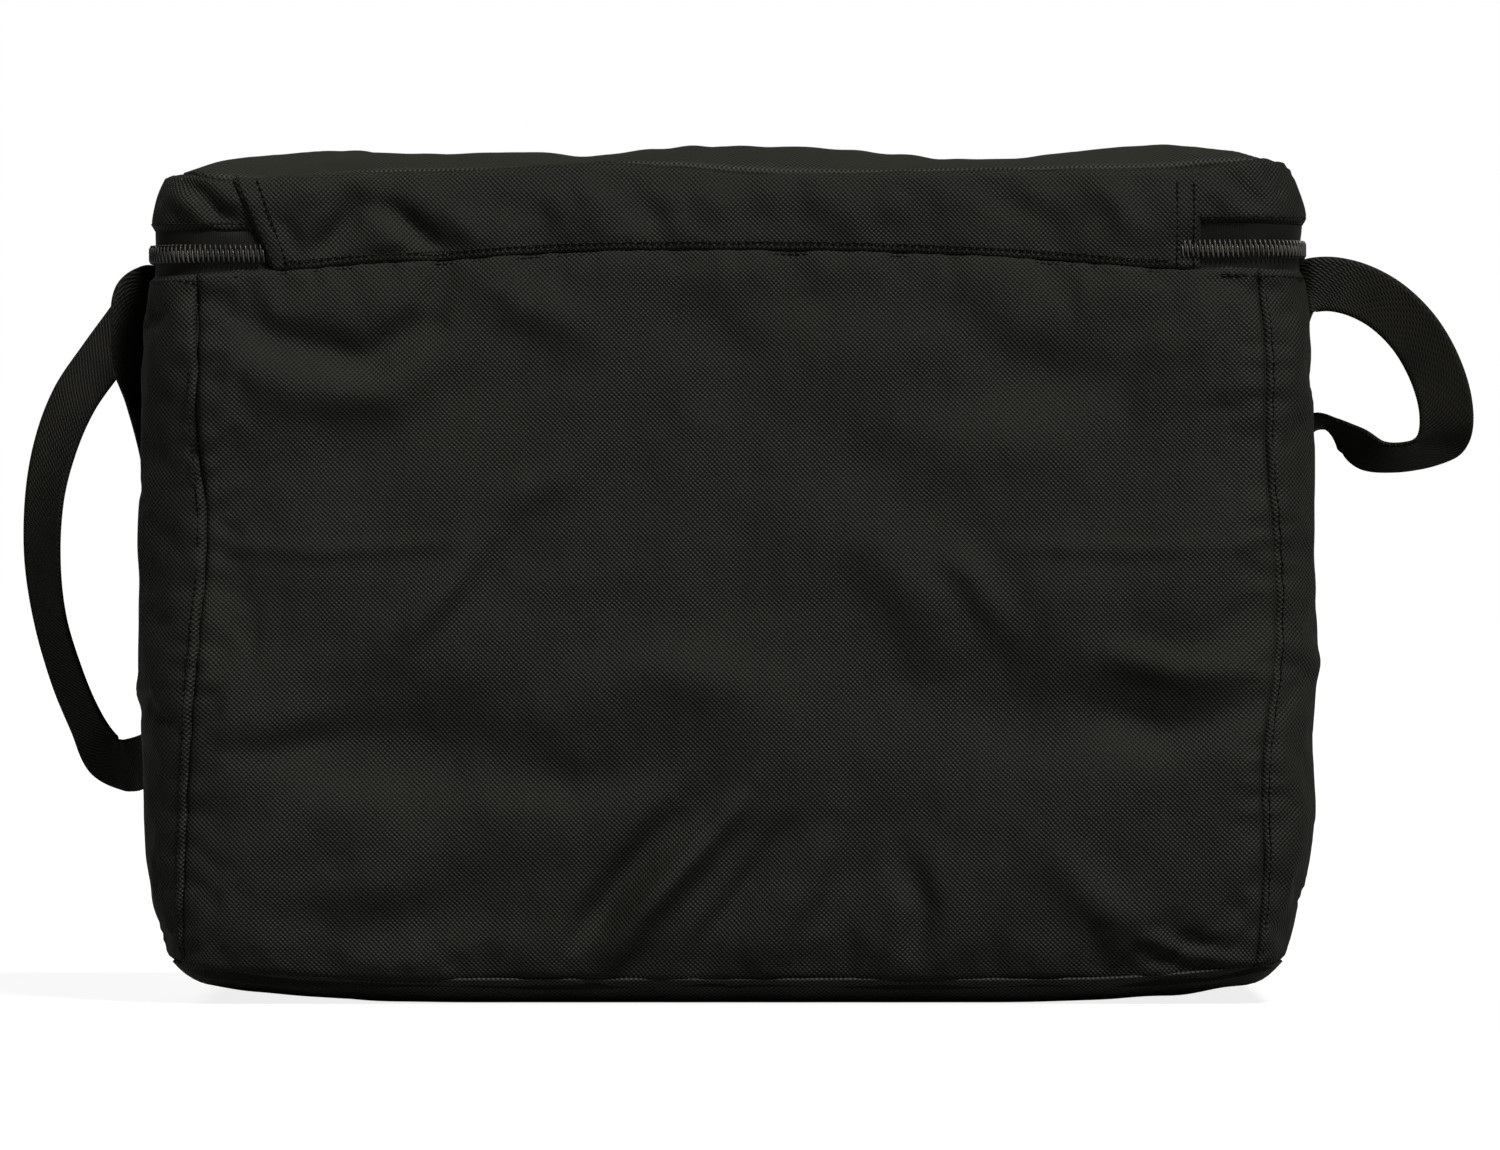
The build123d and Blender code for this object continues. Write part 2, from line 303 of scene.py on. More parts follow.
def bottom_seam(s):
    """Height of the seam between the walls and the bottom panel."""
    return bottom_rise(plan(s)[0]) + 0.8 * np.sin(s / 19.0)


def band_seam(x):
    """Height of the curved seam between the back panel and the hinge band."""
    rise = 5.0 * unit((x - 185) / 65) ** 1.5 + 2.5 * unit((-x - 200) / 50)
    return 356.5 + rise - 15.0 * (np.abs(x) / SEAM_X) ** 2.3 - 1.2 * np.exp(-(((x + 128) / 34) ** 2))


REAR_LID_SEAM = [(-300, 391), (-262, 391), (-236, 388), (-187, 391.6), (-116, 393.4), (-58, 396.4),
                 (-25, 394.8), (0, 392.6), (35, 391), (91, 392.4), (152, 393.4), (206, 394),
                 (225, 394.6), (240, 397), (254, 398), (263, 396.6), (300, 394)]


def lid_seam(s):
    """Height of the seam round the lid's top."""
    x, y, nx, ny = plan(s)
    around = LID_SEAM - 1.6 + 1.3 * np.cos(s / 41.0 + 0.6) + 1.0 * np.sin(s / 17.0)
    rear = np.interp(x, *np.array(REAR_LID_SEAM, float).T)
    share = unit((-y - 90) / 60)
    return around * (1 - share) + rear * share


PLAN_TURN = np.unwrap(np.arctan2(PLAN_P[:, 1] / HALF_D, PLAN_P[:, 0] / HALF_W))


def s_towards(x, y):
    """How far round the plan the edge is that lies in the direction of a point."""
    turn = np.arctan2(y / HALF_D, x / HALF_W)
    turn = np.mod(turn - PLAN_TURN[0], 2 * math.pi) + PLAN_TURN[0]
    return np.interp(turn, PLAN_TURN, PLAN_S)


# ---------------------------------------------------------------- meshes
def make_object(name, points, faces, flat=None, material=None):
    """A mesh object from millimetre points, with the fabric's flat coordinates when given."""
    mesh = bpy.data.meshes.new(name)
    mesh.from_pydata((np.asarray(points) * MM).tolist(), [], [list(f) for f in faces])
    mesh.validate()
    if flat is not None:
        layer = mesh.attributes.new("flat", "FLOAT_VECTOR", "POINT")
        layer.data.foreach_set("vector", (np.asarray(flat) * MM).astype(np.float32).ravel())
    mesh.polygons.foreach_set("use_smooth", [True] * len(mesh.polygons))
    mesh.update()
    obj = bpy.data.objects.new(name, mesh)
    bpy.context.scene.collection.objects.link(obj)
    if material:
        mesh.materials.append(material)
    return obj


def grid_normals(p, closed=False):
    """Unit normals of a grid of points."""
    if closed:
        du = np.roll(p, -1, axis=1) - np.roll(p, 1, axis=1)
    else:
        du = np.gradient(p, axis=1)
    normal = np.cross(du, np.gradient(p, axis=0))
    return normal / np.maximum(np.linalg.norm(normal, axis=-1, keepdims=True), 1e-9)


def sheet_solid(name, p, flat, thickness, material, closed=False, inward=1):
    """A closed sheet: the grid is its outer face, and the inner face lies a thickness behind."""
    rows, cols = p.shape[:2]
    inner = p - inward * thickness * grid_normals(p, closed)
    points = np.concatenate([p.reshape(-1, 3), inner.reshape(-1, 3)])
    index = np.arange(rows * cols).reshape(rows, cols)
    if closed:
        index = np.concatenate([index, index[:, :1]], axis=1)
    under = index + rows * cols

    def quads(a, b, c, d):
        return np.stack([a.ravel(), b.ravel(), c.ravel(), d.ravel()], axis=1)

    outer_faces = quads(index[:-1, :-1], index[:-1, 1:], index[1:, 1:], index[1:, :-1])
    inner_faces = quads(under[:-1, :-1], under[1:, :-1], under[1:, 1:], under[:-1, 1:])
    rims = [quads(index[0, 1:], index[0, :-1], under[0, :-1], under[0, 1:]),
            quads(index[-1, :-1], index[-1, 1:], under[-1, 1:], under[-1, :-1])]
    if not closed:
        rims += [quads(index[:-1, 0], index[1:, 0], under[1:, 0], under[:-1, 0]),
                 quads(index[1:, -1], index[:-1, -1], under[:-1, -1], under[1:, -1])]
    faces = np.concatenate([outer_faces, inner_faces, *rims])
    if inward < 0:
        faces = faces[:, ::-1]
    both = np.concatenate([flat.reshape(-1, 3)] * 2)
    return make_object(name, points, faces, both, material)


def roll_edges(p, reach, depth, sides="lrbt"):
    """Turn a sheet's edges inwards, as at a seam."""
    normal = grid_normals(p)
    rows, cols = p.shape[:2]
    across = np.linalg.norm(np.diff(p, axis=1), axis=-1).cumsum(axis=1)
    across = np.concatenate([np.zeros((rows, 1)), across], axis=1)
    up = np.linalg.norm(np.diff(p, axis=0), axis=-1).cumsum(axis=0)
    up = np.concatenate([np.zeros((1, cols)), up], axis=0)
    distances = {"l": across, "r": across[:, -1:] - across, "b": up, "t": up[-1:] - up}
    drop = np.zeros((rows, cols))
    for side in sides:
        drop = np.maximum(drop, depth * unit(1 - distances[side] / reach) ** 2)
    return p - normal * drop[..., None]


def settle(p, grow, pressure, cap, frames=18, every=2):
    """Let a panel's cloth, cut a little too large and held at its seams, buckle and puff out."""
    rows, cols = p.shape[:2]
    r = np.unique(np.append(np.arange(0, rows, every), rows - 1))
    c = np.unique(np.append(np.arange(0, cols, every), cols - 1))
    start = p[np.ix_(r, c)]
    index = np.arange(len(r) * len(c)).reshape(len(r), len(c))
    faces = xyz(index[:-1, :-1], index[:-1, 1:], index[1:, 1:], index[1:, :-1])
    obj = make_object("cloth_trial", start.reshape(-1, 3), faces.reshape(-1, 4).tolist())
    pin = obj.vertex_groups.new(name="pin")
    edge = np.ones_like(index, bool)
    edge[1:-1, 1:-1] = False
    pin.add(index[edge].tolist(), 1.0, "REPLACE")
    cloth = obj.modifiers.new("cloth", "CLOTH")
    settings = cloth.settings
    settings.quality, settings.mass = 5, 0.25
    settings.tension_stiffness = settings.compression_stiffness = 18
    settings.shear_stiffness, settings.bending_stiffness = 6, 0.35
    settings.vertex_group_mass = "pin"
    settings.shrink_min = -grow
    settings.use_pressure = True
    settings.uniform_pressure_force = pressure
    settings.effector_weights.gravity = 0
    cloth.collision_settings.use_collision = False
    scene = bpy.context.scene
    for frame_number in range(1, frames + 1):
        scene.frame_set(frame_number)
    result = obj.evaluated_get(bpy.context.evaluated_depsgraph_get()).data
    moved = np.empty(len(result.vertices) * 3)
    result.vertices.foreach_get("co", moved)
    change = moved.reshape(start.shape) / MM - start
    size = np.linalg.norm(change, axis=-1, keepdims=True)
    change *= np.minimum(1, cap / np.maximum(size, 1e-6))
    bpy.data.objects.remove(obj)
    scene.frame_set(1)
    full = np.stack([np.interp(np.arange(rows), r, change[:, j, k]) for k in range(3)
                     for j in range(len(c))]).reshape(3, len(c), rows)
    full = np.stack([np.interp(np.arange(cols), c, full[k, :, i]) for k in range(3)
                     for i in range(rows)]).reshape(3, rows, cols)
    return p + np.moveaxis(full, 0, -1)


def wall_grid(s_low, s_high, z_low, z_high, step=STEP, lift=0.0, slant=0.0):
    """A grid of shell points between two places round the plan and two edge heights.

    The slant is how far the first edge leans out for each millimetre over the zipper.
    """
    cols = max(4, int((s_high - s_low) / step))
    s = np.linspace(s_low, s_high, cols + 1)
    low = z_low(s) if callable(z_low) else np.full_like(s, z_low)
    high = z_high(s) if callable(z_high) else np.full_like(s, z_high)
    rows = max(3, int(np.max(high - low) / step))
    t = np.linspace(0, 1, rows + 1)[:, None]
    z = low + (high - low) * t
    s = np.broadcast_to(s, z.shape)
    s = s - slant * (z - ZIP_Z) * unit((s_low + 60 - s) / 60)
    s = s + drift(s, z)
    return shell_point(s, z, lift), flat_map(s, z)


def plan_grid(inset_x, inset_y, radius, step):
    """A grid over the rounded plan: x, y and the distance in from the edge."""
    half_x, half_y = HALF_W - inset_x, HALF_D - inset_y
    u, v = np.meshgrid(np.linspace(-1, 1, int(2 * half_x / step) + 1),
                       np.linspace(-1, 1, int(2 * half_y / step) + 1))
    x, y = u * half_x, v * half_y
    corner_x, corner_y = half_x - radius, half_y - radius
    a = unit((np.abs(x) - corner_x) / radius)
    b = unit((np.abs(y) - corner_y) / radius)
    corner = (a > 0) & (b > 0)
    edge = np.minimum((1 - np.abs(u)) * half_x, (1 - np.abs(v)) * half_y)
    return (np.where(corner, np.sign(x) * (corner_x + radius * a * np.sqrt(1 - b * b / 2)), x),
            np.where(corner, np.sign(y) * (corner_y + radius * b * np.sqrt(1 - a * a / 2)), y), edge)


# ---------------------------------------------------------------- materials
class Nodes:
    """Short calls for building a material's nodes."""

    def __init__(self, name):
        self.material = bpy.data.materials.new(name)
        self.material.use_nodes = True
        self.tree = self.material.node_tree
        self.shader = self.tree.nodes["Principled BSDF"]

    def add(self, kind, inputs=(), **values):
        node = self.tree.nodes.new(kind)
        for key, value in values.items():
            setattr(node, key, value)
        for key, value in dict(inputs).items():
            self.put(node.inputs[key], value)
        return node

    def put(self, socket, value):
        if isinstance(value, bpy.types.NodeSocket):
            self.tree.links.new(value, socket)
        else:
            socket.default_value = value

    def math(self, operation, a, b=0.0, c=0.0):
        node = self.add("ShaderNodeMath", operation=operation)
        for socket, value in zip(node.inputs, (a, b, c)):
            self.put(socket, value)
        return node.outputs[0]

    def times(self, a, b):
        return self.math("MULTIPLY", a, b)

    def plus(self, a, b):
        return self.math("ADD", a, b)

    def flat(self):
        """The fabric's flat coordinates, in metres."""
        node = self.add("ShaderNodeAttribute", attribute_name="flat")
        split = self.add("ShaderNodeSeparateXYZ")
        self.put(split.inputs[0], node.outputs["Vector"])
        return node.outputs["Vector"], split.outputs[0], split.outputs[1]

    def noise(self, vector, scale, detail=3.0, roughness=0.5):
        inputs = {"Vector": vector, "Scale": scale, "Detail": detail, "Roughness": roughness}
        return self.add("ShaderNodeTexNoise", inputs).outputs["Fac"]

    def ramp(self, value, low, high, dark, light):
        """Colour from dark to light as the value goes from low to high."""
        node = self.add("ShaderNodeMapRange", interpolation_type="SMOOTHSTEP")
        for i, v in enumerate((value, low, high)):
            self.put(node.inputs[i], v)
        mix = self.add("ShaderNodeMix", data_type="RGBA")
        self.put(mix.inputs[0], node.outputs[0])
        self.put(mix.inputs[6], (*dark, 1))
        self.put(mix.inputs[7], (*light, 1))
        return mix.outputs[2]

    def bump(self, height, distance, strength=1.0, under=None):
        inputs = {"Height": height, "Distance": distance, "Strength": strength}
        if under:
            inputs["Normal"] = under
        return self.add("ShaderNodeBump", inputs).outputs[0]

    def set(self, **values):
        names = {"colour": "Base Color", "roughness": "Roughness", "metallic": "Metallic",
                 "specular": "Specular IOR Level", "sheen": "Sheen Weight",
                 "sheen_roughness": "Sheen Roughness", "sheen_tint": "Sheen Tint",
                 "coat": "Coat Weight", "coat_roughness": "Coat Roughness", "normal": "Normal"}
        for key, value in values.items():
            self.put(self.shader.inputs[names[key]], value)
        return self.material


WEAVE_CELL = 0.00112


def shell_fabric(name, warp_sheen, weft_dark, relief=0.00026):
    """Coarse basket weave: domed cells that show the warp and the weft in turn, with the warp cells
    painted lighter as a painted sheen.
    """
    n = Nodes(name)
    vector, u, v = n.flat()
    wander = n.times(n.math("SUBTRACT", n.noise(vector, 90, 2), 0.5), 0.0009)
    wave_u = n.math("SINE", n.times(n.plus(u, wander), math.pi / WEAVE_CELL))
    wave_v = n.math("SINE", n.times(n.plus(v, wander), math.pi / WEAVE_CELL))
    check = n.times(wave_u, wave_v)
    warp_up = n.math("MULTIPLY_ADD", check, 0.5, 0.5)
    cloudy = n.noise(vector, 9, 4, 0.6)
    tone = n.plus(n.times(check, 0.75), n.times(cloudy, 0.5))
    threads = n.add("ShaderNodeMapping", {"Vector": vector, "Scale": (5200, 1500, 1)})
    grain = n.noise(threads.outputs[0], 1.0, 1)
    # painted sheen: the check lifts the warp cells from the dark weft colour towards the lighter colour;
    # the cloudy noise and the thread grain add random tone
    colour = n.ramp(n.plus(tone, n.times(grain, 0.25)), -0.25, 0.85, weft_dark, warp_sheen)
    height = n.plus(check, n.times(grain, 0.3))
    rough = n.math("SUBTRACT", n.plus(0.66, n.times(cloudy, 0.12)),
                   n.times(warp_up, 0.26))
    normal = n.bump(n.noise(vector, 260, 2), 0.0008, 0.25)
    return n.set(colour=colour, roughness=rough,
                 specular=0.17, sheen=0.01, sheen_roughness=0.4, sheen_tint=(0.9, 0.88, 0.7, 1),
                 normal=n.bump(height, relief, 1.0, normal))


def ribbed_fabric(name, dark, light, along, across, depth, lean=0.0):
    """Webbing or tape: fine ribs across it, leaning for a twill, and a faint grain along it."""
    n = Nodes(name)
    vector, u, v = n.flat()
    place = n.plus(u, n.times(v, lean))
    rib = n.math("SINE", n.times(place, 2 * math.pi / along))
    yarn = n.math("SINE", n.plus(n.times(v, 2 * math.pi / across),
                                 n.times(u, math.pi / along)))
    worn = n.noise(vector, 40, 4, 0.6)
    height = n.plus(rib, n.times(yarn, 0.5))
    tone = n.plus(n.times(height, 0.22), worn)
    return n.set(colour=n.ramp(tone, 0.1, 1.0, dark, light), roughness=0.62, specular=0.16,
                 sheen=0.03, sheen_roughness=0.5, sheen_tint=(0.8, 0.78, 0.7, 1),
                 normal=n.bump(height, depth, 0.8))


def moulded(name, dark, light, roughness, metallic=0.0, coat=0.0, grain=900, specular=0.5):
    """Hard pieces: a fine grain, a little colour drift and smoother worn patches."""
    n = Nodes(name)
    place = n.add("ShaderNodeTexCoord").outputs["Object"]
    drift = n.noise(place, 60, 4, 0.6)
    rough = n.plus(roughness, n.times(n.math("SUBTRACT", drift, 0.5), 0.25))
    return n.set(colour=n.ramp(drift, 0.3, 0.7, dark, light), roughness=rough, metallic=metallic,
                 coat=coat, coat_roughness=0.2, specular=specular,
                 normal=n.bump(n.noise(place, grain, 3), 0.0002, 0.5))


def foil_film(name):
    """Bright crinkled film."""
    n = Nodes(name)
    place = n.add("ShaderNodeTexCoord").outputs["Object"]
    cells = n.add("ShaderNodeTexVoronoi", {"Vector": place, "Scale": 95.0}, feature="DISTANCE_TO_EDGE")
    crinkle = n.math("MINIMUM", cells.outputs["Distance"], 0.16)
    drift = n.noise(place, 30, 4, 0.6)
    return n.set(colour=n.ramp(drift, 0.3, 0.7, (0.25, 0.254, 0.262), (0.37, 0.374, 0.38)),
                 metallic=0.5, roughness=n.plus(0.54, n.times(drift, 0.16)),
                 normal=n.bump(crinkle, 0.006, 0.8))


def foam_body(name):
    """Closed-cell foam, with fine cells."""
    n = Nodes(name)
    place = n.add("ShaderNodeTexCoord").outputs["Object"]
    cells = n.add("ShaderNodeTexVoronoi", {"Vector": place, "Scale": 420.0})
    colour = n.ramp(cells.outputs["Distance"], 0.0, 0.7, (0.84, 0.85, 0.83), (0.68, 0.69, 0.67))
    return n.set(colour=colour, roughness=0.8, specular=0.2,
                 normal=n.bump(cells.outputs["Distance"], 0.0006, 0.6))


FABRIC = shell_fabric("shell_fabric", (0.0222, 0.0218, 0.0166), (0.0003, 0.0003, 0.0002))
# A lighter copy of the shell fabric for the lid's top: painted light, the top coloured as if lit more from
# above than the walls.
LIT_TOP_FABRIC = shell_fabric("shell_fabric_top_painted_light", (0.0285, 0.028, 0.0215), (0.0012, 0.0012, 0.0009),
                          relief=0.00012)
# A much lighter copy of the shell fabric for the bottom panel: painted light, standing in for light
# bounced up onto the underside.
LIT_BASE_FABRIC = shell_fabric("shell_fabric_base_painted_light", (0.046, 0.0452, 0.036), (0.004, 0.004, 0.003))
WEBBING = ribbed_fabric("webbing", (0.0024, 0.0022, 0.0012), (0.0125, 0.0116, 0.0064),
                        0.0021, 0.0013, 0.0002, lean=1.0)
TAPE = ribbed_fabric("zipper_tape", (0.0018, 0.0017, 0.0012), (0.0072, 0.0067, 0.0048),
                     0.0011, 0.0008, 0.00005)
BINDING = ribbed_fabric("binding", (0.002, 0.002, 0.0016), (0.009, 0.0088, 0.007),
                        0.0013, 0.0013, 0.00012)
THREAD = moulded("thread", (0.0012, 0.0012, 0.001), (0.005, 0.005, 0.004), 0.6, grain=3000,
                 specular=0.2)
COIL = moulded("zipper_coil", (0.03, 0.0285, 0.0235), (0.085, 0.08, 0.066), 0.36,
               specular=0.6)
HARDWARE = moulded("zip_hardware", (0.010, 0.010, 0.010), (0.035, 0.035, 0.034), 0.32,
                   metallic=0.3, coat=0.3)
FOIL = foil_film("foil")
FOAM = foam_body("insulation_foam")
BOARD = moulded("stiffener", (0.02, 0.02, 0.02), (0.05, 0.05, 0.05), 0.5)


def place(obj, body, slot, *nodes):
    """Attach a piece to its body and hide the CAD nodes that it stands for; the slot, its finish, is not
    used.
    """
    if body:
        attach(obj, body)
    if nodes:
        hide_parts(*nodes)
    return obj


def sew(name, p, flat, thickness, material, body, slot, *nodes, closed=False, inward=1):
    """Make a closed sheet and place it."""
    return place(sheet_solid(name, p, flat, thickness, material, closed, inward), body, slot, *nodes)


# ---------------------------------------------------------------- the shell's panels
def back_top(s):
    return band_seam(plan(s)[0])


def side_top(s):
    """Height of the walls' upper edge beside the zipper: higher at the two rear corners."""
    return TAPE_LOW + 5.0 * near(s, S_SEAM, 90) + 2.5 * near(s, -S_SEAM, 60)


def shell_panel(name, s_low, s_high, z_low, z_high, body, node):
    """One sewn panel of the shell, its edges turned in at the seams."""
    p, flat = wall_grid(s_low, s_high, z_low, z_high)
    p = roll_edges(settle(p, 0.012, 1.2, 3.0), 2.8, 1.4)
    return sew(name, p, flat, SHEET, FABRIC, body, "shell_fabric", node)


SEAM_LAP = 0.25  # how far a panel runs past its seam line
WALLS = [  # side, cloth, CAD panel, where it starts and ends round the plan, upper edge
    ("back", "back_panel_cloth", "back_panel", -S_SEAM, S_SEAM, back_top),
    ("right", "right_side_cloth", "right_side_panel", S_SEAM, S_FRONT_SEAM, side_top),
    ("front", "front_panel_cloth", "front_panel", S_FRONT_SEAM, AROUND - S_FRONT_SEAM, side_top),
    ("left", "left_side_cloth", "left_side_panel", AROUND - S_FRONT_SEAM, AROUND - S_SEAM, side_top),
]
for _, cloth_name, panel, first, last, top_edge in WALLS:
    shell_panel(cloth_name, first - SEAM_LAP, last + SEAM_LAP, bottom_seam, top_edge, "tub", panel)


def seam_allowance(name, s_low, s_high, z_low, z_high, body="tub"):
    """The sewn-in edges behind a seam, bound with tape."""
    p, flat = wall_grid(s_low, s_high, z_low, z_high, lift=-2.9)
    return sew(name, p, flat, 0.4, BINDING, body, "binding")


seam_allowance("seam_allowance_bottom", 0, AROUND, lambda s: bottom_seam(s) - 3,
               lambda s: bottom_seam(s) + 7)
for corner_name, s_corner in (("rear_right", S_SEAM), ("front_right", S_FRONT_SEAM),
                              ("front_left", AROUND - S_FRONT_SEAM), ("rear_left", AROUND - S_SEAM)):
    seam_allowance(f"seam_allowance_{corner_name}", s_corner - 5, s_corner + 5, bottom_seam,
                   TAPE_LOW - 1)


def bottom_cloth():
    """The bottom panel: a shallow bulge under the seam, flat where it stands."""
    x, y, edge = plan_grid(8, 6, CORNER - 6, 3.2)
    tuck = unit(1 - edge / 17) ** 2.2
    z = floor_lift(x, y) * (1 - tuck) + (bottom_rise(x) + 1.0) * tuck
    z += 0.5 * rumple(x, y, 30, 21) * unit(edge / 12) * unit(z / 4)
    p = xyz(x, y, np.maximum(z, 0.05))
    # The much lighter copy of the fabric: painted light on the underside.
    return sew("bottom_cloth", p[:, ::-1], flat_map(x, y)[:, ::-1], SHEET, LIT_BASE_FABRIC, "tub",
               "shell_fabric", "bottom_panel")


bottom_cloth()


# ---------------------------------------------------------------- the lid
def zip_rise(s):
    """How far the zipper rides up towards the right rear corner."""
    return 2.4 * near(s, S_SEAM, 110)


def gusset_low(s):
    """Height of the lower edge of the lid's sides."""
    return 364.0 + 1.4 * zip_rise(s)


for side_name, s_from, s_to in (("right", S_ZIP_END, AROUND * FIRST_SIDE + 1),
                                ("left", AROUND * LAST_SIDE - 1, AROUND - S_ZIP_END),
                                ("front", AROUND * FIRST_SIDE + 1.4, AROUND * LAST_SIDE - 1.4)):
    shell_panel(f"lid_gusset_cloth_{side_name}", s_from, s_to, gusset_low, lid_seam, "lid",
                f"lid_{side_name}_gusset")
for side_name, s_side in (("right", AROUND * FIRST_SIDE), ("left", AROUND * LAST_SIDE)):
    seam_allowance(f"lid_seam_allowance_{side_name}", s_side - 5, s_side + 5,
                   lambda s: gusset_low(s) + 1, lambda s: lid_seam(s) - 2, "lid")


def hinge_fold(obj):
    """Bake a piece's transform into its mesh."""
    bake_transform(obj)
    return obj


BAND_LIFT, BAND_SHEET = 0.8, 0.7  # how far the band stands off the shell, and its thickness
BAND_FOLDS = [  # width, height, then the path's places (s, z)
    (7, -6.0, -196, 350, -184, 362, -173, 375, -164, 377),
    (6, -6.5, -168, 378, -157, 373, -145, 363, -132, 350), (8, 4.0, -166, 352, -160, 361, -152, 356),
    (6, 2.4, -206, 376, -190, 384, -170, 390), (5, -3.4, -214, 372, -205, 362, -202, 350),
    (7, 3.6, -136, 376, -124, 366, -114, 354), (8, -2.6, -112, 392, -111, 382, -104, 370),
    (7, -3.2, -92, 378, -84, 366, -86, 358), (8, 3.0, -70, 392, -62, 376, -66, 362),
    (8, -4.4, -46, 390, -40, 376, -28, 364), (9, 2.2, -20, 388, -8, 376, -10, 364),
    (9, 1.8, 34, 386, 46, 374, 52, 362), (8, -2.4, 72, 390, 84, 382, 100, 374),
    (8, -2.8, 112, 390, 130, 378, 156, 368), (7, 2.8, 176, 388, 186, 374, 188, 362),
]
TOP_FOLDS = [  # width, height, then the path's places (x, y)
    (12, 2.0, -220, -120, -170, -60, -150, 20), (9, -2.4, -70, -150, -58, -90, -64, -20),
    (9, -2.2, 98, -152, 108, -90, 96, -20), (11, 1.8, 60, 140, 40, 80, 70, 20),
    (12, 1.8, 220, 100, 170, 60, 150, 0), (10, -1.8, -180, 130, -120, 100, -60, 120),
]


def rear_band():
    """The band that is sewn to the back panel's curved edge and folds as the lid's hinge."""
    p, flat = wall_grid(-S_ZIP_END - 3, S_ZIP_END + 7.5, lambda s: back_top(s) - 1.6, lid_seam,
                        slant=0.42)
    x, z = flat[..., 0], flat[..., 1]
    height = 0.6 * rumple(x, z, 24, 12)
    height = height + folds(x, z, BAND_FOLDS)
    clear = unit((z - z[:1] - 1.0) / 6)
    settled = 0.35 * unit(1 - (z - z[:1]) / 8)
    p = p + grid_normals(p) * (height * clear + BAND_LIFT - settled)[..., None]
    p = roll_edges(roll_edges(p, 2.4, 1.2, "lr"), 3.2, 2.6, "t")
    return hinge_fold(sew("rear_band_cloth", p, flat, BAND_SHEET, FABRIC, None, "shell_fabric",
                          "lid_rear_band"))


rear_band()


def lid_top():
    """The lid's top: a puffed panel with soft humps, seamed to the walls."""
    x, y, edge = plan_grid(10.6, 4.4, CORNER - 5, 3.0)
    crown = CROWN_TOP - LID_SEAM
    swell = 1 - unit(1 - edge / 46) ** 2.4
    humps = (np.exp(-(((x + 165) / 80) ** 4)) * 5.2 + np.exp(-(((x - 12) / 66) ** 2)) * 8.2
             + np.exp(-(((x - 198) / 58) ** 4)) * 5.6)
    reach = unit(edge / 60)
    seam = (lid_seam(s_towards(x, y)) - 0.2) * (1 - reach) + (LID_SEAM - 2) * reach
    z = seam + swell * (0.5 * crown + humps)
    z += swell * (0.8 * rumple(x, y, 60, 31) + 0.25 * rumple(x, y, 20, 32))
    z += folds(x, y, TOP_FOLDS) * swell
    p = roll_edges(xyz(x, y, z), 3.4, 2.8)
    # The lighter copy of the fabric: painted light on the lid's top.
    obj = sew("lid_top_cloth", p, flat_map(x, y), SHEET, LIT_TOP_FABRIC, "lid", "shell_fabric",
              "lid_top_panel")


lid_top()


# ---------------------------------------------------------------- zipper
def zip_tape(name, z_low, z_high, body, node):
    """The tape beside the coil, on the sides where the zipper runs."""
    p, flat = wall_grid(S_ZIP_END - 2, AROUND - S_ZIP_END + 2, z_low, z_high, step=2.2, lift=-1.6)
    return sew(name, p, flat, 0.8, TAPE, body, "zipper_tape", node)


zip_tape("tape_lower_cloth", TAPE_LOW - 4, lambda s: ZIP_Z - 0.4 + zip_rise(s), "tub",
         "zipper_tape_lower")
zip_tape("tape_upper_cloth", lambda s: ZIP_Z + 0.4 + zip_rise(s), lambda s: TAPE_HIGH + 2 + zip_rise(s),
         "lid", "zipper_tape_upper")


def tubes(paths, radii, sides=6):
    """Points and faces of many capped tubes, one for each path of the same length."""
    count, rings = paths.shape[:2]
    along = np.gradient(paths, axis=1)
    along /= np.linalg.norm(along, axis=-1, keepdims=True)
    helper = np.where(np.abs(along[..., 2:]) > 0.8, [1.0, 0.0, 0.0], [0.0, 0.0, 1.0])
    a = np.cross(along, helper)
    a /= np.linalg.norm(a, axis=-1, keepdims=True)
    b = np.cross(along, a)
    angle = np.linspace(0, 2 * math.pi, sides, endpoint=False)
    ring = (a[:, :, None] * np.cos(angle)[:, None] + b[:, :, None] * np.sin(angle)[:, None])
    points = paths[:, :, None] + ring * np.asarray(radii)[None, :, None, None]
    one = []
    for r in range(rings - 1):
        for k in range(sides):
            m = (k + 1) % sides
            one.append((r * sides + k, r * sides + m, (r + 1) * sides + m, (r + 1) * sides + k))
    caps = [tuple(range(sides))[::-1], tuple((rings - 1) * sides + k for k in range(sides))]
    faces = []
    for i in range(count):
        base = i * rings * sides
        faces += [tuple(base + k for k in face) for face in one + caps]
    return points.reshape(-1, 3), faces


TOOTH_PITCH = 2.35


def zip_coil(name, side, body, node):
    """One half of the coil: each tooth loops over from its tape and hooks past the closing line."""
    start, stop = S_ZIP_END - 1, AROUND - S_ZIP_END + 1
    s = np.arange(start, stop, TOOTH_PITCH) + (TOOTH_PITCH / 2 if side > 0 else 0)
    shape = [(4.1, -0.4, -0.3), (4.0, 0.75, -0.28), (2.8, 1.3, -0.2), (0.6, 1.35, 0.0),
             (-1.3, 1.1, 0.25), (-2.0, 0.2, 0.3)]
    paths = []
    for up, out, slant in shape:
        rise = np.zeros((len(s), 3))
        rise[:, 2] = side * up + zip_rise(s)
        paths.append(shell_point(s + side * slant, np.full_like(s, ZIP_Z), out) + rise)
    points, faces = tubes(np.stack(paths, axis=1), [0.34, 0.4, 0.43, 0.43, 0.38, 0.28])
    return place(make_object(name, points, faces, material=COIL), body, "zipper_coil", node)


zip_coil("coil_teeth_lower", -1, "tub", "zipper_coil_lower")
zip_coil("coil_teeth_upper", 1, "lid", "zipper_coil_upper")


